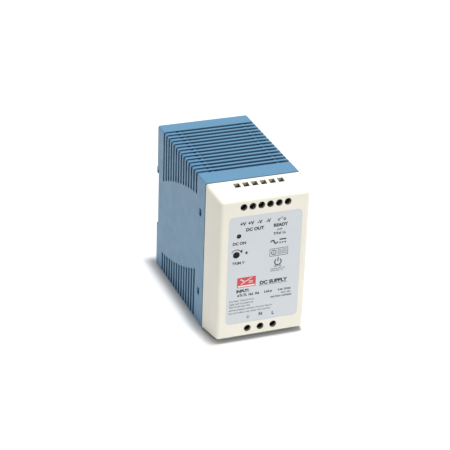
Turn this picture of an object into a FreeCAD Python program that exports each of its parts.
"""Snap-on power supply for a 35 mm mounting rail, as an assembly of separate pieces.

Frame, in mm: X is the width, -Y the front, +Y the rail side, +Z up. The origin is the
centre of the bottom of the overall box.
"""
import FreeCAD, Part
import math
import operator
import os

import Sketcher
from FreeCAD import Placement, Rotation, Vector

doc = FreeCAD.newDocument("RailPowerSupply")

DIMENSIONS = {
    # Overall box
    "case_width": 55.0, "case_height": 90.0, "case_depth": 100.0,
    "wall": 2.0, "corner_round": 1.2, "gap": 0.3,
    # Front cover
    "cover_depth": 18.8, "rim_depth": 1.5, "side_inset": 1.75,
    "top_drop": 2.4, "bottom_rise": 2.4, "face_round": 2.2,
    "joint_edge": 0.3, "groove_width": 0.65, "groove_depth": 0.7, "tongue_width": 8.0, "tongue_thick": 1.3,
    "window_front": 24.8, "window_depth": 3.0, "window_height": 4.4,
    "upper_window_z": 69.4, "lower_window_z": 20.35, "barb_depth": 0.9,
    "post_radius": 2.6, "post_bore": 1.1, "post_x": 19.5, "post_z": 30.0,
    # Vents
    "slot_pitch": 4.2, "slot_width": 2.35, "first_slot_y": 38.07,
    "vent_arc_radius": 180.0, "vent_low_z": 59.3, "vent_rise": 18.1,
    "beam_inner_x": 20.4, "beam_height": 4.5, "beam_recess": 0.75,
    "guide_width": 1.4, "rib_x": 20.5, "rib_width": 1.5,
    # Rail side
    "rail_width": 35.0, "rail_lip": 1.0, "rail_centre_z": 45.0, "notch_depth": 3.0,
    "hook_reach": 2.4, "hook_gap": 0.3, "rear_wall": 5.5,
    "channel_half": 9.6, "channel_depth": 3.8, "latch_half": 9.3,
    "latch_neck": 7.8, "latch_low_z": 4.4, "latch_thick": 3.3,
    "latch_flange": 1.4, "latch_window": 2.7, "latch_window_low": 9.0,
    "latch_window_high": 20.8, "stop_high_z": 11.0,
    "spring_radius": 1.35, "spring_wire": 0.25, "spring_turns": 6.0,
    # Label
    "label_left_x": -20.9, "label_right_x": 21.65, "label_low_z": 11.3,
    "label_high_z": 77.4, "label_round": 2.6, "label_thick": 0.2, "label_recess": 0.25,
    "lamp_x": -14.8, "lamp_z": 65.7, "lamp_hole": 1.35,
    "trim_x": -15.9, "trim_z": 54.4, "trim_hole": 2.0,
    # Terminals, measured from the screw's axis and the cover's front face
    "out_pitch": 5.08, "out_centre_x": 0.09, "out_screw_z": 82.8, "out_hole": 2.0,
    "in_pitch": 7.62, "in_screw_z": 7.4, "in_hole": 2.05,
    "entry_back": 13.4, "entry_depth": 4.0, "entry_width": 3.4, "entry_shift": 0.9,
    "in_entry_width": 4.6,
    "block_front": 3.2, "well_radius": 2.25, "well_depth": 2.2, "web": 0.6,
    "block_margin": 0.8, "block_outer": 2.6, "block_inner": 5.8, "block_wall": 0.8,
    "head_front": 3.5, "head_radius": 1.9, "head_thick": 1.6,
    "slot_cut": 0.7, "slot_deep": 0.9, "slot_turn": -40.0,
    "shank_radius": 1.25, "thread_gap": 0.05, "shank_end": 10.6,
    "cage_half": 1.85, "cage_wall": 0.45, "cage_height": 5.0, "cage_front": 8.7,
    "cage_front_wall": 1.1, "cage_back": 16.6, "cage_back_wall": 0.8,
    "bar_front": 10.9, "bar_thick": 1.0, "bar_half": 1.1, "leg_half": 0.5,
    # Boards
    "front_board_back": 17.6, "board_thick": 1.6, "front_board_half": 23.2,
    "front_board_low": 3.0, "front_board_high": 87.0,
    "main_board_x": -20.3, "main_board_front": -29.0, "main_board_rear": 43.5,
    "main_board_low": 2.5, "main_board_high": 87.5, "pin": 0.4, "pin_gap": 0.1, "pin_end": 1.6,
}

COMPONENTS = {
    # Places (y, z) are on the main board; heights are measured from its face.
    "fuse": {"y": -22.0, "z": 12.0, "radius": 4.2, "length": 8.0, "lead": 2.54},
    "inrush_thermistor": {"y": -23.0, "z": 24.0, "radius": 6.0, "thick": 4.5, "lead": 3.75},
    "varistor": {"y": -14.0, "z": 12.0, "radius": 6.5, "thick": 4.0, "lead": 3.75},
    "line_capacitor_1": {"y": -4.5, "z": 15.5, "deep": 8.5, "wide": 18.0, "tall": 15.0, "lead": 7.5},
    "line_capacitor_2": {"y": 20.5, "z": 15.5, "deep": 8.5, "wide": 18.0, "tall": 15.0, "lead": 7.5},
    "choke": {"y": 8.3, "z": 17.0, "outer": 9.0, "inner": 5.0, "thick": 6.5},
    "bridge_rectifier": {"y": 29.5, "z": 16.0, "deep": 4.4, "wide": 19.5, "tall": 16.0, "lead": 7.5},
    "safety_capacitor_1": {"y": 38.0, "z": 10.5, "radius": 4.0, "thick": 3.4, "lead": 2.5},
    "safety_capacitor_2": {"y": 38.0, "z": 21.5, "radius": 4.0, "thick": 3.4, "lead": 2.5},
    "bulk_capacitor": {"y": -11.5, "z": 43.0, "radius": 11.0, "length": 35.0, "lead": 5.0},
    "primary": {"y": 2.4, "thick": 3.0, "low": 31.5, "high": 57.5, "first": 37.5, "second": 51.0},
    "transformer": {"y": 28.0, "z": 44.0, "leg": 4.5, "side": 13.5, "deep": 5.5, "foot": 4.0, "tall": 24.0,
                    "wall": 0.8},
    "secondary": {"y": 38.0, "thick": 3.0, "low": 60.0, "high": 84.0, "first": 66.0, "second": 78.0},
    "inductor": {"y": 20.5, "z": 72.0, "outer": 9.5, "inner": 5.0, "thick": 8.0},
    "output_capacitor_1": {"y": 7.0, "z": 66.0, "radius": 5.0, "length": 25.0, "lead": 2.5},
    "output_capacitor_2": {"y": 7.0, "z": 78.0, "radius": 5.0, "length": 25.0, "lead": 2.5},
    "output_capacitor_3": {"y": -4.5, "z": 78.0, "radius": 5.0, "length": 25.0, "lead": 2.5},
    "optocoupler_1": {"y": -15.0, "z": 61.5, "deep": 4.6, "wide": 6.4, "tall": 3.6, "lead": 2.9},
    "optocoupler_2": {"y": -8.0, "z": 61.5, "deep": 4.6, "wide": 6.4, "tall": 3.6, "lead": 2.9},
    "control_chip": {"y": -17.0, "z": 75.0, "deep": 9.8, "wide": 6.4, "tall": 3.6, "lead": 2.9},
    "relay": {"x": 9.0, "z": 51.0, "wide": 12.5, "high": 18.0, "tall": 13.6},
    "header": {"low": 34.0, "pitch": 2.54, "count": 6, "deep": 4.0},
}

sheet = doc.addObject("Spreadsheet::Sheet", "Dims")


def fill_sheet():
    """Writes every dimension to the sheet, each under its own alias."""
    cells = dict(DIMENSIONS)
    for item, values in COMPONENTS.items():
        for key, number in values.items():
            cells[item + "_" + key] = number
    for row, (alias, number) in enumerate(cells.items(), 1):
        sheet.set("A%d" % row, alias)
        sheet.set("B%d" % row, str(number))
        sheet.setAlias("B%d" % row, alias)
    doc.recompute()


fill_sheet()


class Size:
    """A length in mm that remembers the sheet expression it comes from."""

    def __init__(self, value, text):
        self.value = value
        self.text = text

    def __add__(self, other):
        return joined(self, "+", other)

    def __radd__(self, other):
        return joined(other, "+", self)

    def __sub__(self, other):
        return joined(self, "-", other)

    def __rsub__(self, other):
        return joined(other, "-", self)

    def __mul__(self, other):
        return joined(self, "*", other)

    def __rmul__(self, other):
        return joined(other, "*", self)

    def __truediv__(self, other):
        return joined(self, "/", other)

    def __neg__(self):
        return joined(0.0, "-", self)


OPERATIONS = {"+": operator.add, "-": operator.sub, "*": operator.mul, "/": operator.truediv}


def joined(first, sign, second):
    """The sum, difference, product or quotient of two sizes or numbers."""
    value = OPERATIONS[sign](plain(first), plain(second))
    return Size(value, "(%s %s %s)" % (written(first), sign, written(second)))


def plain(size):
    return size.value if isinstance(size, Size) else float(size)


def written(size):
    return size.text if isinstance(size, Size) else "%.6f" % size


def dim(alias):
    return Size(sheet.get(alias), "Dims." + alias)


def bind(item, prop, size):
    """Ties a property to the sheet, or sets it where it is a plain number."""
    if isinstance(size, Size):
        item.setExpression(prop, size.text)
    else:
        setattr(item, prop, size)


# ---------------------------------------------------------------- building tools

TURN = {
    "X": Rotation(Vector(0, 1, 0), 90),
    "Y": Rotation(Vector(1, 0, 0), -90),
    "Z": Rotation(),
    "-Y": Rotation(Vector(1, 0, 0), 90),
}


def place(item, at, axis="Z"):
    """Puts an item's own origin at a point, with its own Z along axis."""
    item.Placement = Placement(Vector(), TURN[axis])
    for letter, size in zip("xyz", at):
        item.setExpression("Placement.Base." + letter, written(size))
    return item


def block(name, low, high):
    """A box between two opposite corners."""
    item = doc.addObject("Part::Box", name)
    for prop, start, end in zip(("Length", "Width", "Height"), low, high):
        bind(item, prop, end - start)
    return place(item, low)


def rod(name, start, axis, length, radius):
    """A round bar from start, along axis."""
    item = doc.addObject("Part::Cylinder", name)
    bind(item, "Radius", radius)
    bind(item, "Height", length)
    return place(item, start, axis)


def cut(name, base, *tools):
    item = doc.addObject("Part::Cut", name)
    item.Base = base
    item.Tool = tools[0] if len(tools) == 1 else merge(name + "_tools", *tools)
    return item


def merge(name, *pieces):
    item = doc.addObject("Part::MultiFuse", name)
    item.Shapes = list(pieces)
    return item


def common(name, *pieces):
    item = doc.addObject("Part::MultiCommon", name)
    item.Shapes = list(pieces)
    return item


def group(name, pieces):
    """Several separate solids that share one node."""
    item = doc.addObject("Part::Compound", name)
    item.Links = list(pieces)
    return item


def rounded(name, base, radius, chosen):
    """Rounds the edges of base that chosen(edge) accepts."""
    doc.recompute()
    item = doc.addObject("Part::Fillet", name)
    item.Base = base
    size = plain(radius)
    edges = enumerate(base.Shape.Edges, 1)
    item.Edges = [(number, size, size) for number, edge in edges if chosen(edge)]
    return item


def bevelled(name, base, size, chosen):
    """Chamfers the edges of base that chosen(edge) accepts."""
    doc.recompute()
    item = doc.addObject("Part::Chamfer", name)
    item.Base = base
    edges = enumerate(base.Shape.Edges, 1)
    item.Edges = [(number, plain(size), plain(size)) for number, edge in edges if chosen(edge)]
    return item


def along(edge, axis):
    """Whether a straight edge runs along X, Y or Z."""
    box = edge.BoundBox
    spans = {"X": box.XLength, "Y": box.YLength, "Z": box.ZLength}
    longest = spans.pop(axis)
    return longest > 0.01 and max(spans.values()) < 0.001


def sketch_on(body, plane, corners):
    """A closed outline on one of a body's own origin planes, each corner tied to the sheet."""
    sketch = body.newObject("Sketcher::SketchObject", body.Name + "_outline")
    flat = [face for face in body.Origin.OriginFeatures if face.Role == plane][0]
    sketch.AttachmentSupport = (flat, [""])
    sketch.MapMode = "FlatFace"
    points = [Vector(plain(first), plain(second), 0) for first, second in corners]
    for start, end in zip(points, points[1:] + points[:1]):
        sketch.addGeometry(Part.LineSegment(start, end), False)
    for number in range(len(points)):
        following = (number + 1) % len(points)
        sketch.addConstraint(Sketcher.Constraint("Coincident", number, 2, following, 1))
    for number, corner in enumerate(corners):
        for kind, size in zip(("DistanceX", "DistanceY"), corner):
            rule = Sketcher.Constraint(kind, -1, 1, number, 1, plain(size))
            index = sketch.addConstraint(rule)
            sketch.setExpression("Constraints[%d]" % index, written(size))
    return sketch


def turned(name, profile, at, axis):
    """A lathe-turned piece: profile is (radius, height) corners, spun about axis."""
    body = doc.addObject("PartDesign::Body", name)
    sketch = sketch_on(body, "XZ_Plane", profile)
    spin = body.newObject("PartDesign::Revolution", name + "_spin")
    spin.Profile = sketch
    spin.ReferenceAxis = (sketch, ["V_Axis"])
    spin.Angle = 360.0
    return place(body, at, axis)


def pressed(name, outline, thickness, at, axis):
    """A flat piece: its outline padded by its thickness along axis."""
    body = doc.addObject("PartDesign::Body", name)
    sketch = sketch_on(body, "XY_Plane", outline)
    pad = body.newObject("PartDesign::Pad", name + "_pad")
    pad.Profile = sketch
    bind(pad, "Length", thickness)
    return place(body, at, axis)


# ---------------------------------------------------------------- shared places

half = dim("case_width") / 2
height = dim("case_height")
wall = dim("wall")
gap = dim("gap")
front = -dim("case_depth") / 2
rear = dim("case_depth") / 2
joint = front + dim("cover_depth")
beyond = 1.0    # how far a cutting tool runs past the surface that it cuts


# ---------------------------------------------------------------- housing

def vent_ends():
    """Each vent's place along Y and the height of its lower end on the side wall.

    The ends lie on one arc that bulges upwards from the rear vent to the front one.
    """
    count = 14
    pitch = sheet.get("slot_pitch")
    run = pitch * (count - 1)
    rise = sheet.get("vent_rise")
    radius = sheet.get("vent_arc_radius")
    chord = math.hypot(run, rise)
    sag = math.sqrt(radius ** 2 - (chord / 2) ** 2)
    centre_y = -run / 2 - sag * rise / chord
    centre_z = rise / 2 - sag * run / chord
    ends = []
    for number in range(count):
        offset = -pitch * number
        lift = centre_z + math.sqrt(radius ** 2 - (offset - centre_y) ** 2)
        ends.append((dim("first_slot_y") - dim("slot_pitch") * number, dim("vent_low_z") + lift))
    return ends


def vent_tools():
    """Slots that wrap over the top and down both sides, and the same turned half round below."""
    tools = []
    across = dim("slot_width") / 2
    ends = vent_ends()
    last_y = ends[-1][0]
    first_y = ends[0][0]
    for number, (y, z) in enumerate(ends):
        name = "vent_%d" % (number + 1)
        start = (-half - beyond, y - across, z + across)
        end = (half + beyond, y + across, height + beyond)
        tools.append(block(name + "_upper", start, end))
        tools.append(rod(name + "_upper_end", (-half - beyond, y, z + across), "X",
                         2 * half + 2 * beyond, across))
        low_y = first_y + last_y - y
        low_z = height - z + gap
        start = (-half - beyond, low_y - across, -beyond)
        end = (half + beyond, low_y + across, low_z - across)
        tools.append(block(name + "_lower", start, end))
        tools.append(rod(name + "_lower_end", (-half - beyond, low_y, low_z - across), "X",
                         2 * half + 2 * beyond, across))
    return tools


def joint_groove():
    """The frame-shaped tool that leaves a narrow groove all round beside the front cover."""
    deep = dim("groove_depth")
    around = block("groove_around", (-half - beyond, joint - beyond, -beyond),
                   (half + beyond, joint + dim("groove_width"), height + beyond))
    kept = block("groove_kept", (-half + deep, joint - 2 * beyond, deep),
                 (half - deep, joint + 2 * beyond, height - deep))
    return cut("groove_frame", around, kept)


def housing():
    """The ventilated shell: open at the front, with a hook and a latch channel at the rear."""
    outside = block("housing_outside", (-half, joint, 0), (half, rear, height))
    outside = rounded("housing_rounded", outside, dim("corner_round"),
                      lambda edge: along(edge, "Y") or edge.BoundBox.YMin > plain(rear) - 0.01)
    outside = cut("housing_grooved", outside, joint_groove())
    back = rear - dim("rear_wall")
    hollow = block("housing_hollow", (-half + wall, joint - beyond, wall),
                   (half - wall, back, height - wall))
    notch_low = dim("rail_centre_z") - dim("rail_width") / 2 - gap
    notch_high = dim("rail_centre_z") + dim("rail_width") / 2 + gap
    notch = block("rail_notch", (-half - beyond, rear - dim("notch_depth"), notch_low),
                  (half + beyond, rear + beyond, notch_high))
    flange_x = dim("channel_half")
    neck_x = dim("latch_neck") + gap
    floor_y = rear - dim("channel_depth")
    lip_y = floor_y + gap + dim("latch_flange") + gap
    channel = block("latch_channel", (-flange_x, floor_y, -beyond), (flange_x, lip_y, notch_low + beyond))
    mouth = block("latch_mouth", (-neck_x, floor_y, -beyond), (neck_x, rear + beyond, notch_low + beyond))
    core_top = notch_high + 6.0
    core = block("upper_core", (-half + wall, back - beyond, core_top),
                 (half - wall, rear - wall, height - wall))
    windows = []
    window_y = front + dim("window_front")
    for place_name, z in (("upper", dim("upper_window_z")), ("lower", dim("lower_window_z"))):
        windows.append(block(place_name + "_windows",
                             (-half - beyond, window_y, z - dim("window_height") / 2),
                             (half + beyond, window_y + dim("window_depth"), z + dim("window_height") / 2)))
    shell = cut("housing_shell", outside, hollow, notch, channel, mouth, core, *(windows + vent_tools()))

    beams = []
    inner_front = joint + 2.2
    beam_x = -half + dim("beam_recess")
    beam_in = -dim("beam_inner_x")
    guide_x = dim("main_board_x") + dim("board_thick") + 0.1
    rib_low = dim("rib_x") - dim("rib_width") / 2
    rib_high = dim("rib_x") + dim("rib_width") / 2
    deep = dim("beam_height")
    recess = dim("beam_recess")
    for place_name, outer_z, inner_z in (("top", height - recess, height - deep),
                                         ("bottom", recess, deep)):
        low_z, high_z = (inner_z, outer_z) if place_name == "top" else (outer_z, inner_z)
        beams.append(block(place_name + "_beam", (beam_x, inner_front, low_z),
                           (beam_in, back + beyond, high_z)))
        beams.append(block(place_name + "_rib", (rib_low, inner_front, low_z),
                           (rib_high, back + beyond, high_z)))
        beams.append(block(place_name + "_guide", (guide_x, inner_front, low_z),
                           (guide_x + dim("guide_width"), back + beyond, high_z)))
    lip_y = rear - dim("notch_depth") + dim("rail_lip") + dim("hook_gap")
    beams.append(block("rail_hook", (-half, lip_y, notch_high - dim("hook_reach") - gap),
                       (half, rear, notch_high + beyond)))
    beams.append(block("spring_stop",
                       (-dim("latch_window") + gap, floor_y - beyond, dim("latch_window_low") + gap),
                       (dim("latch_window") - gap, rear - 0.6, dim("stop_high_z"))))
    return merge("housing", shell, *beams)


# ---------------------------------------------------------------- front cover and label

def tapered(name, inset, front_y, back_y):
    """The cover's tapering part, inset by a wall all round."""
    item = doc.addObject("Part::Wedge", name)
    bind(item, "Xmin", -half + inset)
    bind(item, "Xmax", half - inset)
    bind(item, "Zmin", 0.0 + inset)
    bind(item, "Zmax", height - inset)
    bind(item, "X2min", -half + dim("side_inset") + inset)
    bind(item, "X2max", half - dim("side_inset") - inset)
    bind(item, "Z2min", dim("bottom_rise") + inset)
    bind(item, "Z2max", height - dim("top_drop") - inset)
    bind(item, "Ymin", 0.0)
    bind(item, "Ymax", back_y - front_y)
    return item


def front_cover():
    """The ivory shell that snaps into the housing, with the terminal openings."""
    taper_back = joint - dim("rim_depth")
    # A wedge narrows towards +Y, so it is turned half round about X and lifted back.
    outer = tapered("cover_taper", 0 * wall, front, taper_back)
    flip(outer, taper_back)
    outer = rounded("cover_rounded", outer, dim("face_round"), cover_edge)
    rim = block("cover_rim", (-half, taper_back, 0), (half, joint, height))
    rim = rounded("cover_rim_rounded", rim, dim("corner_round"), lambda edge: along(edge, "Y"))
    rim = bevelled("cover_rim_bevelled", rim, dim("joint_edge"),
                   lambda edge: edge.BoundBox.YMin > plain(joint) - 0.01)
    inner = tapered("cover_hollow", wall, front + wall, taper_back)
    flip(inner, taper_back)
    rim_hollow = block("cover_rim_hollow", (-half + wall, taper_back - 0.01, wall),
                       (half - wall, joint + beyond, height - wall))
    tools = [inner, rim_hollow]
    for number, x in enumerate(output_places(), 1):
        tools.append(rod("out_access_%d" % number, (x, front - beyond, dim("out_screw_z")), "Y",
                         wall + 2 * beyond, dim("out_hole")))
        tools.append(entry("out_entry_%d" % number, x + dim("entry_shift"), dim("entry_width"),
                           height - 4.0, height + beyond))
    for number, x in enumerate(input_places(), 1):
        tools.append(rod("in_access_%d" % number, (x, front - beyond, dim("in_screw_z")), "Y",
                         wall + 2 * beyond, dim("in_hole")))
        tools.append(entry("in_entry_%d" % number, x, dim("in_entry_width"), -beyond, 0 * wall + 4.0))
    tools.append(rod("lamp_opening", (dim("lamp_x"), front - beyond, dim("lamp_z")), "Y",
                     wall + 2 * beyond, dim("lamp_hole")))
    tools.append(rod("trim_opening", (dim("trim_x"), front - beyond, dim("trim_z")), "Y",
                     wall + 2 * beyond, dim("trim_hole")))
    tools.append(label_plate("label_pocket", front - beyond, front + dim("label_recess")))
    shell = cut("cover_shell", merge("cover_outside", outer, rim), *tools)
    pieces = [shell]
    for side_name, side in (("left", -1), ("right", 1)):
        for level_name, z in (("upper", dim("upper_window_z")), ("lower", dim("lower_window_z"))):
            pieces += tongue(side_name + "_" + level_name, side, z)
    board_front = front + dim("front_board_back")
    for side_name, x in (("left", -dim("post_x")), ("right", dim("post_x"))):
        post = rod(side_name + "_post", (x, front + wall - 0.2, dim("post_z")), "Y",
                   board_front - front - wall + 0.2, dim("post_radius"))
        bore = rod(side_name + "_post_bore", (x, board_front - 8.0, dim("post_z")), "Y",
                   8.0 + beyond, dim("post_bore"))
        pieces.append(cut(side_name + "_post_bored", post, bore))
    return merge("front_cover", *pieces)


def flip(item, back_y):
    """Turns a wedge so that its small end is at the front."""
    item.Placement = Placement(Vector(), Rotation(Vector(0, 0, 1), 180))
    item.setExpression("Placement.Base.y", back_y.text)


def cover_edge(edge):
    """The edges of the cover's front face and the four slanting ones beside it."""
    box = edge.BoundBox
    return box.YMin < plain(front) + 0.01


def entry(name, x, width, low_z, high_z):
    """A wire entry through the cover's slanting top or bottom."""
    y = front + dim("entry_back")
    return block(name, (x - width / 2, y - dim("entry_depth") / 2, low_z),
                 (x + width / 2, y + dim("entry_depth") / 2, high_z))


def tongue(name, side, z):
    """A snap tongue with its barb, inside the housing's side wall."""
    outer_x = half - wall - 0.1
    inner_x = outer_x - dim("tongue_thick")
    window_y = front + dim("window_front")
    reach = window_y + dim("window_depth") + 1.5
    across = dim("tongue_width") / 2
    barb_across = dim("window_height") / 2 - gap
    blade = side_block(name + "_blade", side, inner_x, outer_x, joint - 7.0, reach, z - across, z + across)
    root = side_block(name + "_root", side, inner_x - 0.6, outer_x + 0.6, joint - 7.0, joint - 0.6,
                      z - across, z + across)
    barb = side_block(name + "_barb", side, outer_x - 0.2, half - 0.9, window_y + gap,
                      window_y + gap + dim("barb_depth"), z - barb_across, z + barb_across)
    return [blade, root, barb]


def side_block(name, side, near_x, far_x, low_y, high_y, low_z, high_z):
    """A box on the left (-1) or right (1), given by its distances from the middle."""
    if side < 0:
        near_x, far_x = -far_x, -near_x
    return block(name, (near_x, low_y, low_z), (far_x, high_y, high_z))


def label_plate(name, front_y, back_y):
    """A plate with rounded corners, in the label's place."""
    plate = block(name + "_plate", (dim("label_left_x"), front_y, dim("label_low_z")),
                  (dim("label_right_x"), back_y, dim("label_high_z")))
    return rounded(name, plate, dim("label_round"), lambda edge: along(edge, "Y"))


def label():
    """The printed front label, with openings for the lamp and the trimmer."""
    back_y = front + dim("label_recess")
    plate = label_plate("label_blank", back_y - dim("label_thick"), back_y)
    openings = []
    for name, x, z, radius in (("lamp", dim("lamp_x"), dim("lamp_z"), dim("lamp_hole")),
                               ("trim", dim("trim_x"), dim("trim_z"), dim("trim_hole"))):
        openings.append(rod("label_%s_opening" % name, (x, front - beyond, z), "Y", 3 * beyond, radius))
    return cut("label", plate, *openings)


# ---------------------------------------------------------------- terminals

def output_places():
    """The six output screws' places along X."""
    middle = dim("out_centre_x")
    return [middle + dim("out_pitch") * (number - 2.5) for number in range(6)]


def input_places():
    """The three input screws' places along X."""
    return [dim("in_pitch") * (number - 1.0) for number in range(3)]


def heights(side, screw_z, outward, inward):
    """The low and high end of a span given outwards and inwards from a screw's axis."""
    if side > 0:
        return screw_z - inward, screw_z + outward
    return screw_z - outward, screw_z + inward


def terminal_block(name, places, pitch, side, screw_z):
    """A block with one well and one open cage chamber for each screw."""
    block_front = front + dim("block_front")
    board_front = front + dim("front_board_back")
    margin = pitch / 2 + dim("block_margin")
    low_z, high_z = heights(side, screw_z, dim("block_outer"), dim("block_inner"))
    body = block(name + "_body", (places[0] - margin, block_front, low_z),
                 (places[-1] + margin, board_front, high_z))
    tools = []
    chamber_front = block_front + dim("well_depth") + dim("web")
    chamber_back = board_front - 0.6
    chamber_half = dim("cage_half") + gap
    chamber_low, chamber_high = heights(side, screw_z, dim("block_outer") + beyond,
                                        dim("block_inner") - dim("block_wall"))
    for number, x in enumerate(places, 1):
        tag = "%s_%d" % (name, number)
        tools.append(rod(tag + "_well", (x, block_front - beyond, screw_z), "Y",
                         dim("well_depth") + beyond, dim("well_radius")))
        tools.append(rod(tag + "_bore", (x, block_front, screw_z), "Y",
                         chamber_front - block_front + 0.1, dim("shank_radius") + gap))
        tools.append(block(tag + "_chamber", (x - chamber_half, chamber_front, chamber_low),
                           (x + chamber_half, chamber_back, chamber_high)))
        leg_low, leg_high = heights(side, screw_z, -(dim("block_inner") - dim("block_wall") - 1.3),
                                    dim("block_inner") - dim("block_wall"))
        tools.append(block(tag + "_leg_slot", (x - dim("leg_half"), chamber_back - 0.1, leg_low),
                           (x + dim("leg_half"), board_front + beyond, leg_high)))
    return cut(name, body, *tools)


def terminal_screw(name, x, screw_z):
    """A slotted clamping screw, turned from bar, with its head at the front."""
    head_y = dim("head_front")
    neck_y = head_y + dim("head_thick")
    end_y = dim("shank_end")
    radius = dim("head_radius")
    shank = dim("shank_radius")
    profile = [(0 * wall, head_y), (radius - 0.25, head_y), (radius, head_y + 0.25), (radius, neck_y),
               (shank, neck_y), (shank, end_y - 0.4), (shank - 0.4, end_y), (0 * wall, end_y)]
    blank = turned(name + "_blank", profile, (x, front, screw_z), "Y")
    drive = block(name + "_drive",
                  (x - radius - beyond, front + head_y - beyond, screw_z - dim("slot_cut") / 2),
                  (x + radius + beyond, front + head_y + dim("slot_deep"), screw_z + dim("slot_cut") / 2))
    screw = cut(name, blank, drive)
    axis_point = Vector(plain(x), 0, plain(screw_z))
    screw.Placement = Placement(Vector(), Rotation(Vector(0, 1, 0), sheet.get("slot_turn")), axis_point)
    return screw


def clamp_cage(name, x, screw_z):
    """The cage that the screw draws forward, so that it grips the wire against the bar."""
    low_z = screw_z - dim("cage_height") / 2
    high_z = screw_z + dim("cage_height") / 2
    outside = block(name + "_outside", (x - dim("cage_half"), front + dim("cage_front"), low_z),
                    (x + dim("cage_half"), front + dim("cage_back"), high_z))
    across = dim("cage_half") - dim("cage_wall")
    inside = block(name + "_inside",
                   (x - across, front + dim("cage_front") + dim("cage_front_wall"), low_z - beyond),
                   (x + across, front + dim("cage_back") - dim("cage_back_wall"), high_z + beyond))
    bore = rod(name + "_bore", (x, front + dim("cage_front") - beyond, screw_z), "Y",
               dim("cage_front_wall") + 2 * beyond, dim("shank_radius") + dim("thread_gap"))
    return cut(name, outside, inside, bore)


def contact_bars(name, places, side, screw_z):
    """The fixed bars that the cages clamp against, with legs through the front board."""
    bars = []
    for number, x in enumerate(places, 1):
        tag = "%s_%d" % (name, number)
        base = dim("block_inner") - dim("block_wall")
        low_z, high_z = heights(side, screw_z, dim("cage_height") / 2, base)
        bar_y = front + dim("bar_front")
        upright = block(tag + "_bar", (x - dim("bar_half"), bar_y, low_z),
                        (x + dim("bar_half"), bar_y + dim("bar_thick"), high_z))
        leg_low, leg_high = heights(side, screw_z, -(base - 1.0), base)
        leg_end = front + dim("front_board_back") + dim("board_thick") + 1.2
        leg = block(tag + "_leg", (x - dim("leg_half"), bar_y + 0.1, leg_low),
                    (x + dim("leg_half"), leg_end, leg_high))
        bars.append(merge(tag, upright, leg))
    return group(name, bars)


# ---------------------------------------------------------------- rail latch

def rail_latch():
    """The sliding latch: a flanged plate with a lip for the rail and a slot for a screwdriver."""
    floor_y = rear - dim("channel_depth") + gap
    low_z = dim("latch_low_z")
    top_z = dim("rail_centre_z") - dim("rail_width") / 2 - gap
    lip_y = rear - dim("notch_depth") + dim("rail_lip") + dim("hook_gap")
    face_y = floor_y + dim("latch_thick")
    flange = block("latch_flange_plate", (-dim("latch_half"), floor_y, low_z),
                   (dim("latch_half"), floor_y + dim("latch_flange"), top_z))
    neck = block("latch_neck_plate", (-dim("latch_neck"), floor_y, low_z), (dim("latch_neck"), face_y, top_z))
    lip = [(lip_y, top_z - 1.0), (face_y, top_z - 1.0), (face_y, top_z + 1.2),
           (lip_y, top_z + dim("hook_reach") + gap)]
    nose = pressed("latch_nose", lip, 2 * dim("latch_neck"), (-dim("latch_neck"), 0, 0), "Z")
    nose.Placement = Placement(Vector(), Rotation(Vector(1, 1, 1), 120))
    nose.setExpression("Placement.Base.x", (-dim("latch_neck")).text)
    window = block("latch_window_tool", (-dim("latch_window"), floor_y - beyond, dim("latch_window_low")),
                   (dim("latch_window"), rear + beyond, dim("latch_window_high")))
    driver = block("latch_driver_slot", (-3.2, floor_y - beyond, low_z + 1.3),
                   (3.2, rear + beyond, low_z + 2.9))
    return cut("rail_latch", merge("latch_blank", flange, neck, nose), window, driver)


def latch_spring():
    """A closed-coil spring between the housing's stop and the top of the latch's window."""
    radius = sheet.get("spring_radius")
    wire = sheet.get("spring_wire")
    length = sheet.get("latch_window_high") - sheet.get("stop_high_z") - 2 * wire - 0.1
    helix = Part.makeHelix(length / sheet.get("spring_turns"), length, radius)
    ring = Part.Wire([Part.makeCircle(wire, Vector(radius, 0, 0), Vector(0, 1, 0))])
    spring = doc.addObject("Part::Feature", "latch_spring")
    spring.Shape = Part.Wire(helix).makePipeShell([ring], True, True)
    start_z = sheet.get("stop_high_z") + wire + 0.05
    spring.Placement = Placement(Vector(0, plain(rear) - 2.1, start_z), Rotation())
    return spring


# ---------------------------------------------------------------- circuit boards and components

board_face = dim("main_board_x") + dim("board_thick")
main_pins = []     # (y, z) of every pin through the main board
front_pins = []    # (x, z) of every pin through the front board


def sizes(name):
    """A component's own sizes, by their short names."""
    return {key: dim(name + "_" + key) for key in COMPONENTS[name]}


def pins(name, places, reach):
    """Round pins that run from inside a component, down through the main board."""
    legs = []
    for number, (y, z) in enumerate(places, 1):
        main_pins.append((y, z))
        start = (dim("main_board_x") - dim("pin_end"), y, z)
        length = dim("board_thick") + dim("pin_end") + reach
        legs.append(rod("%s_pin_%d" % (name, number), start, "X", length, dim("pin")))
    return legs


def front_legs(name, places, start_y):
    """Round pins that run back from start_y, through the front board."""
    end_y = front + dim("front_board_back") + dim("board_thick") + 1.2
    legs = []
    for number, (x, z) in enumerate(places, 1):
        front_pins.append((x, z))
        legs.append(rod("%s_pin_%d" % (name, number), (x, start_y, z), "Y", end_y - start_y, dim("pin")))
    return legs


def radial_can(name, y, z, radius, length, lead):
    """A round can that stands on the board, with a rolled groove near its foot."""
    profile = [(0 * wall, 0.4), (radius - 0.3, 0.4), (radius, 0.7), (radius, 2.2), (radius - 0.4, 2.6),
               (radius, 3.0), (radius, length - 0.5), (radius - 0.5, length), (0 * wall, length)]
    body = turned(name + "_can", profile, (board_face, y, z), "X")
    return merge(name, body, *pins(name, [(y, z - lead), (y, z + lead)], 0.6))


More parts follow.
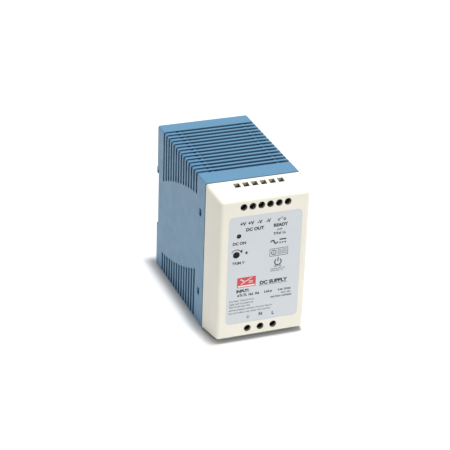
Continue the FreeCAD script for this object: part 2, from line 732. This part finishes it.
def disc_part(name, y, z, radius, thick, lead):
    """A dipped disc that stands on edge on two leads."""
    disc = rod(name + "_disc", (board_face + 2.0 + radius, y - thick / 2, z), "Y", thick, radius)
    disc = rounded(name + "_dipped", disc, 0.9, lambda edge: edge.BoundBox.XLength > 1.0)
    return merge(name, disc, *pins(name, [(y, z - lead), (y, z + lead)], 2.0 + radius))


def boxed_part(name, y, z, deep, wide, tall, lead, rows=(0.0,)):
    """A moulded box on the board, with pins at both ends of each row."""
    low = (board_face + 0.3, y - deep / 2, z - wide / 2)
    high = (board_face + 0.3 + tall, y + deep / 2, z + wide / 2)
    body = rounded(name + "_moulded", block(name + "_box", low, high), 0.5, lambda edge: along(edge, "X"))
    places = [(y + row_y, z + side * lead) for row_y in rows for side in (-1, 1)]
    return merge(name, body, *pins(name, places, 0.8))


def insulated_packages(kind, heater, side):
    """Two power packages, their pads and screws on one heat spreader's face."""
    values = sizes(heater)
    face_y = values["y"] if side < 0 else values["y"] + values["thick"]
    packages, pads, screws = [], [], []
    for number, z in enumerate((values["first"], values["second"]), 1):
        tag = "%s_%d" % (kind, number)
        near_y = face_y + side * 0.3
        pads.append(spanning(tag + "_pad_blank", (board_face + 2.6, board_face + 18.4), (face_y, near_y),
                             (z - 5.4, z + 5.4), side))
        hole = rod(tag + "_pad_hole", (board_face + 15.0, face_y - 1.0, z), "Y", 2.0, 1.5)
        pads[-1] = cut(tag + "_pad", pads[-1], hole)
        packages.append(power_package(tag, near_y, z, side))
        screws.append(package_screw(tag + "_screw", near_y + side * 1.3, z, side))
    return group(kind, packages), pads, screws


def spanning(name, x_span, y_span, z_span, side):
    """A box whose Y ends are given outwards from a face; side says which way outwards is."""
    near_y, far_y = y_span if side > 0 else y_span[::-1]
    return block(name, (x_span[0], near_y, z_span[0]), (x_span[1], far_y, z_span[1]))


def power_package(name, back_y, z, side):
    """A flat power package with its metal tab against the pad, and three pins."""
    plastic = spanning(name + "_plastic", (board_face + 3.0, board_face + 12.0),
                       (back_y, back_y + side * 4.4),
                       (z - 5.0, z + 5.0), side)
    tab = spanning(name + "_tab", (board_face + 11.9, board_face + 18.0), (back_y, back_y + side * 1.3),
                   (z - 5.0, z + 5.0), side)
    hole = rod(name + "_hole", (board_face + 15.0, back_y - 2.0, z), "Y", 4.0, 1.6)
    leg_y = back_y + side * 2.6
    return merge(name, plastic, cut(name + "_drilled", tab, hole),
                 *pins(name, [(leg_y, z - 2.54), (leg_y, z), (leg_y, z + 2.54)], 3.5))


def package_screw(name, head_y, z, side):
    """A pan-head screw through a tab and its pad, into the heat spreader."""
    profile = [(0 * wall, -2.0), (2.0 + 0 * wall, -2.0), (2.5, -1.4), (2.5, 0 * wall), (1.25, 0 * wall),
               (1.25, 4.4), (0 * wall, 4.4)]
    return turned(name, profile, (board_face + 15.0, head_y, z), "Y" if side < 0 else "-Y")


def heat_spreader(name, heater, side):
    """An upright aluminium plate with fins on its free face and tapped holes for the package screws."""
    values = sizes(heater)
    y, thick, low_z, high_z = values["y"], values["thick"], values["low"], values["high"]
    plate = block(name + "_plate", (board_face + 0.5, y, low_z), (board_face + 34.0, y + thick, high_z))
    tools = []
    for number, z in enumerate((values["first"], values["second"]), 1):
        tools.append(rod("%s_hole_%d" % (name, number), (board_face + 15.0, y - beyond, z), "Y",
                         thick + 2 * beyond, 1.25))
    feet = pins(name, [(y + thick / 2, low_z + 2.0), (y + thick / 2, high_z - 2.0)], 1.0)
    free_y = y if side > 0 else y + thick
    fins = []
    for number in range(3):
        x = board_face + 20.0 + 5.0 * number
        fins.append(spanning("%s_fin_%d" % (name, number + 1), (x, x + 1.2),
                             (free_y + side * 0.1, free_y - side * 1.8), (low_z, high_z), -side))
    return merge(name, cut(name + "_drilled", plate, *tools), *(feet + fins))


def toroid(name, y, z, outer, inner, thick):
    """A ring core standing on edge, its axis along Y."""
    x = board_face + 1.6 + outer
    return cut(name, rod(name + "_outer", (x, y - thick / 2, z), "Y", thick, outer),
               rod(name + "_inner", (x, y - thick / 2 - beyond, z), "Y", thick + 2 * beyond, inner))


def ring_winding(name, y, z, outer, inner, thick, side):
    """The turns of wire on the upper (+1) or lower (-1) part of a ring core."""
    x = board_face + 1.6 + outer
    wire = 1.2
    over = rod(name + "_over", (x, y - thick / 2 - wire, z), "Y", thick + 2 * wire, outer + wire)
    under = rod(name + "_under", (x, y - thick, z), "Y", thick * 2, inner - wire)
    core = cut(name + "_core", rod(name + "_core_outer", (x, y - thick / 2, z), "Y", thick, outer),
               rod(name + "_core_inner", (x, y - thick, z), "Y", thick * 2, inner))
    near, far = 1.5, outer + 2 * wire
    low_z, high_z = (z + near, z + far) if side > 0 else (z - far, z - near)
    span = block(name + "_span", (x - far, y - thick, low_z), (x + far, y + thick, high_z))
    turns = cut(name + "_turns", common(name + "_part", cut(name + "_sleeve", over, under), span), core)
    lead_z = z + side * 4.0
    lead_y = thick / 2 + 0.6
    return merge(name, turns, *pins(name, [(y - lead_y, lead_z), (y + lead_y, lead_z)], 3.6))


def transformer():
    """A two-part E core round a bobbin, with its winding and tape."""
    values = sizes("transformer")
    y, z, deep = values["y"], values["z"], values["deep"]
    leg, side, tape = values["leg"], values["side"], values["wall"]
    foot = board_face + values["foot"]
    top = foot + values["tall"]
    middle = foot + values["tall"] / 2
    halves = []
    for name, yoke_low, yoke_high, end in (("lower", foot, foot + leg, middle),
                                           ("upper", top - leg, top, middle)):
        pieces = [block("core_%s_yoke" % name, (yoke_low, y - side, z - deep),
                        (yoke_high, y + side, z + deep))]
        leg_low, leg_high = (foot, end) if name == "lower" else (end, top)
        for spot, low, high in (("centre", -leg, leg), ("front", -side, -side + leg),
                                ("rear", side - leg, side)):
            pieces.append(block("core_%s_%s" % (name, spot), (leg_low, y + low, z - deep),
                                (leg_high, y + high, z + deep)))
        halves.append(merge("core_half_" + name, *pieces))
    core = group("transformer_core", halves)

    low_x, high_x = foot + leg + 0.1, top - leg - 0.1
    tube_y, tube_z = leg + 0.1 + tape, deep + 0.1 + tape
    flange_y, flange_z = side - leg - 0.2, 2 * deep + 1.0
    tube = block("bobbin_tube", (low_x, y - tube_y, z - tube_z), (high_x, y + tube_y, z + tube_z))
    pieces = [tube]
    for name, start in (("low", low_x), ("high", high_x - tape)):
        pieces.append(block("bobbin_%s_flange" % name, (start, y - flange_y, z - flange_z),
                            (start + tape, y + flange_y, z + flange_z)))
    places = []
    for name, near, far in (("lower", -flange_z, -deep - 0.8), ("upper", deep + 0.8, flange_z)):
        pieces.append(block("bobbin_%s_rail" % name, (board_face + 0.4, y - flange_y, z + near),
                            (low_x + tape, y + flange_y, z + far)))
        row_z = z + (near + far) / 2
        places += [(y + offset, row_z) for offset in (-6.0, -2.0, 2.0, 6.0)]
    opening = block("bobbin_opening", (low_x - beyond, y - leg - 0.1, z - deep - 0.1),
                    (high_x + beyond, y + leg + 0.1, z + deep + 0.1))
    solid = cut("bobbin_opened", merge("bobbin_whole", *pieces), opening)
    bobbin = merge("transformer_bobbin", solid, *pins("bobbin", places, 1.5))

    wound = block("winding_outside", (low_x + tape, y - flange_y + 0.3, z - flange_z + 0.5),
                  (high_x - tape, y + flange_y - 0.3, z + flange_z - 0.5))
    wound = rounded("winding_rounded", wound, 2.5, lambda edge: along(edge, "X"))
    hole = block("winding_hole", (low_x, y - tube_y, z - tube_z), (high_x, y + tube_y, z + tube_z))
    return [core, bobbin, cut("transformer_winding", wound, hole)]


def drilled(name, board, axis, places, start, radius):
    """A board with one hole for each place."""
    tools = []
    for number, (first, second) in enumerate(places, 1):
        at = (start, first, second) if axis == "X" else (first, start, second)
        tools.append(rod("%s_hole_%d" % (name, number), at, axis, 4.0, radius))
    return cut(name, board, *tools)


def main_board():
    """The power board, standing upright in the housing's guides; made after its components."""
    board = block("main_board_blank", (dim("main_board_x"), dim("main_board_front"), dim("main_board_low")),
                  (board_face, dim("main_board_rear"), dim("main_board_high")))
    return drilled("main_board", board, "X", main_pins, dim("main_board_x") - beyond,
                   dim("pin") + dim("pin_gap"))


def front_board():
    """The terminal board behind the cover; made after its components."""
    low_y = front + dim("front_board_back")
    board = block("front_board_blank", (-dim("front_board_half"), low_y, dim("front_board_low")),
                  (dim("front_board_half"), low_y + dim("board_thick"), dim("front_board_high")))
    board = drilled("front_board_drilled", board, "Y", front_pins, low_y - 1.0, dim("pin") + dim("pin_gap"))
    posts = [(-dim("post_x"), dim("post_z")), (dim("post_x"), dim("post_z"))]
    board = drilled("front_board_posts", board, "Y", posts, low_y - 1.0, dim("post_bore") + 0.2)
    slots = []
    base = dim("block_inner") - dim("block_wall")
    rows = ((1, dim("out_screw_z"), output_places()), (-1, dim("in_screw_z"), input_places()))
    for side, screw_z, places in rows:
        low_z, high_z = heights(side, screw_z, -(base - 1.1), base + 0.1)
        across = dim("leg_half") + 0.1
        for number, x in enumerate(places, 1):
            slots.append(block("board_slot_%d_%d" % (side + 2, number), (x - across, low_y - 1.0, low_z),
                               (x + across, low_y + 3.0, high_z)))
    return cut("front_board", board, *slots)


def board_screws():
    """Two screws that hold the front board to the cover's posts."""
    face_y = front + dim("front_board_back") + dim("board_thick")
    profile = [(0 * wall, -1.5), (1.6 + 0 * wall, -1.5), (2.1, -1.1), (2.1, 0 * wall),
               (dim("post_bore"), 0 * wall),
               (dim("post_bore"), 7.6), (0 * wall, 7.6)]
    screws = []
    for number, x in enumerate((-dim("post_x"), dim("post_x")), 1):
        screws.append(turned("board_screw_%d" % number, profile, (x, face_y, dim("post_z")), "-Y"))
    return group("board_screws", screws)


def board_header():
    """The right-angle pin strip that joins the two boards."""
    values = sizes("header")
    count = COMPONENTS["header"]["count"]
    low_y = front + dim("front_board_back") + dim("board_thick")
    low_z = values["low"]
    deep = values["deep"]
    strip = block("header_strip", (board_face, low_y, low_z),
                  (board_face + deep, low_y + deep, low_z + values["pitch"] * count))
    places = [low_z + values["pitch"] * (number + 0.5) for number in range(count)]
    row_x = board_face + deep / 2
    row_y = low_y + deep / 2
    legs = pins("header", [(row_y, z) for z in places], 0.5)
    for number, z in enumerate(places, 1):
        front_pins.append((row_x, z))
        legs.append(rod("header_front_pin_%d" % number, (row_x, low_y - dim("board_thick") - 1.2, z), "Y",
                        dim("board_thick") + 1.7, dim("pin")))
    return merge("board_header", strip, *legs)


def status_lamp():
    """The round indicator behind the label's opening, and the spacer that holds it forward."""
    x, z = dim("lamp_x"), dim("lamp_z")
    seat_y = front + 7.0
    board_y = front + dim("front_board_back")
    profile = [(0 * wall, -6.6), (0.7 + 0 * wall, -6.6), (1.1, -6.1), (1.1, -1.0),
               (1.5, -1.0), (1.5, 0 * wall),
               (0 * wall, 0 * wall)]
    body = turned("lamp_body", profile, (x, seat_y, z), "Y")
    legs = front_legs("lamp", [(x - 0.8, z), (x + 0.8, z)], seat_y - 0.5)
    spacer = rod("lamp_spacer_tube", (x, seat_y, z), "Y", board_y - seat_y, 2.0)
    bores = [rod("lamp_spacer_bore_%d" % number, (x + offset, seat_y - 1.0, z), "Y", 14.0, dim("pin"))
             for number, offset in enumerate((-0.8, 0.8), 1)]
    return [merge("status_lamp", body, *legs), cut("lamp_spacer", spacer, *bores)]


def trimmer():
    """The voltage trimmer: a square body, and the slotted rotor that turns in it."""
    x, z = dim("trim_x"), dim("trim_z")
    board_y = front + dim("front_board_back")
    top_y = front + 7.0
    half_width = 3.4
    body = block("trimmer_box", (x - half_width, top_y, z - half_width),
                 (x + half_width, board_y, z + half_width))
    bore = rod("trimmer_bore", (x, top_y - beyond, z), "Y", 6.0 + beyond, 1.7 + dim("thread_gap"))
    legs = front_legs("trimmer", [(x - 2.5, z - 2.0), (x + 2.5, z - 2.0), (x, z + 2.0)], board_y - 0.5)
    profile = [(0 * wall, 1.1), (1.45 + 0 * wall, 1.1), (1.7, 1.35), (1.7, 12.7), (0 * wall, 12.7)]
    blank = turned("rotor_blank", profile, (x, front, z), "Y")
    slot = block("rotor_slot", (x - 0.3, front, z - 3.0), (x + 0.3, front + 2.0, z + 3.0))
    cross = block("rotor_cross", (x - 1.1, front, z - 0.3), (x + 1.1, front + 2.0, z + 0.3))
    return [merge("trimmer_body", cut("trimmer_bored", body, bore), *legs),
            cut("trimmer_rotor", blank, slot, cross)]


def signal_relay():
    """The sealed relay behind the signal contacts."""
    values = sizes("relay")
    x, z = values["x"], values["z"]
    board_y = front + dim("front_board_back")
    box = block("relay_box", (x - values["wide"] / 2, board_y - 0.3 - values["tall"], z - values["high"] / 2),
                (x + values["wide"] / 2, board_y - 0.3, z + values["high"] / 2))
    box = rounded("relay_case", box, 0.6, lambda edge: along(edge, "Y"))
    places = [(x - 3.8, z - 7.0), (x + 3.8, z - 7.0), (x - 3.8, z + 5.0), (x + 3.8, z + 5.0), (x, z + 7.5)]
    return merge("signal_relay", box, *front_legs("relay", places, board_y - 0.6))


def insulation_sheet():
    """The thin sheet between the power board's solder side and the housing."""
    x = -half + wall + 0.3
    return block("insulation_sheet", (x, -19.0, 32.0), (x + 0.4, 42.0, 57.5))


# ---------------------------------------------------------------- the assembly

def terminals():
    """Both terminal rows: blocks, contact bars, screws and cages."""
    nodes = []
    rows = (("output", output_places(), dim("out_pitch"), 1, dim("out_screw_z")),
            ("input", input_places(), dim("in_pitch"), -1, dim("in_screw_z")))
    for name, places, pitch, side, screw_z in rows:
        nodes.append(terminal_block(name + "_terminal_block", places, pitch, side, screw_z))
        nodes.append(contact_bars(name + "_contacts", places, side, screw_z))
        for number, x in enumerate(places, 1):
            nodes.append(terminal_screw("%s_screw_%d" % (name, number), x, screw_z))
            nodes.append(clamp_cage("%s_cage_%d" % (name, number), x, screw_z))
    return nodes


def electronics():
    """Everything on the boards, then the boards themselves with a hole for each pin."""
    nodes = status_lamp() + trimmer() + [signal_relay(), board_header(), board_screws(), insulation_sheet()]
    nodes.append(radial_can("fuse", **sizes("fuse")))
    nodes.append(radial_can("bulk_capacitor", **sizes("bulk_capacitor")))
    nodes.append(disc_part("inrush_thermistor", **sizes("inrush_thermistor")))
    nodes.append(disc_part("varistor", **sizes("varistor")))
    nodes.append(boxed_part("bridge_rectifier", **sizes("bridge_rectifier")))
    nodes.append(boxed_part("control_chip", rows=(-3.81, -1.27, 1.27, 3.81), **sizes("control_chip")))
    nodes.append(group("line_capacitors", [boxed_part(name, **sizes(name))
                                           for name in ("line_capacitor_1", "line_capacitor_2")]))
    nodes.append(group("safety_capacitors", [disc_part(name, **sizes(name))
                                             for name in ("safety_capacitor_1", "safety_capacitor_2")]))
    nodes.append(group("optocouplers", [boxed_part(name, rows=(-1.27, 1.27), **sizes(name))
                                        for name in ("optocoupler_1", "optocoupler_2")]))
    nodes.append(group("output_capacitors", [radial_can("output_capacitor_%d" % number,
                                                        **sizes("output_capacitor_%d" % number))
                                             for number in (1, 2, 3)]))
    nodes.append(toroid("choke_core", **sizes("choke")))
    nodes.append(group("choke_windings", [ring_winding("choke_winding_1", side=-1, **sizes("choke")),
                                          ring_winding("choke_winding_2", side=1, **sizes("choke"))]))
    nodes.append(toroid("inductor_core", **sizes("inductor")))
    nodes.append(ring_winding("inductor_winding", side=1, **sizes("inductor")))
    switches, switch_pads, switch_screws = insulated_packages("switching_transistors", "primary", 1)
    diodes, diode_pads, diode_screws = insulated_packages("output_rectifiers", "secondary", -1)
    nodes += [switches, diodes]
    nodes.append(heat_spreader("primary_heat_spreader", "primary", 1))
    nodes.append(heat_spreader("secondary_heat_spreader", "secondary", -1))
    nodes.append(group("insulating_pads", switch_pads + diode_pads))
    nodes.append(group("package_screws", switch_screws + diode_screws))
    nodes += transformer()
    return nodes


def main():
    """Makes every piece, checks it and writes it to parts/."""
    nodes = [housing(), front_cover(), label(), rail_latch(), latch_spring()]
    nodes += terminals() + electronics() + [main_board(), front_board()]
    doc.recompute()
    for item in doc.Objects:
        if "Invalid" in item.State or "Error" in item.State:
            raise RuntimeError("%s failed: %s" % (item.Label, item.State))
    for node in nodes:
        if node.Shape.isNull() or not node.Shape.isValid():
            raise RuntimeError("%s has no valid shape" % node.Label)
    os.makedirs("parts", exist_ok=True)
    for node in nodes:
        node.Shape.exportStep("parts/%s.step" % node.Label)
    print("%d nodes" % len(nodes))


main()
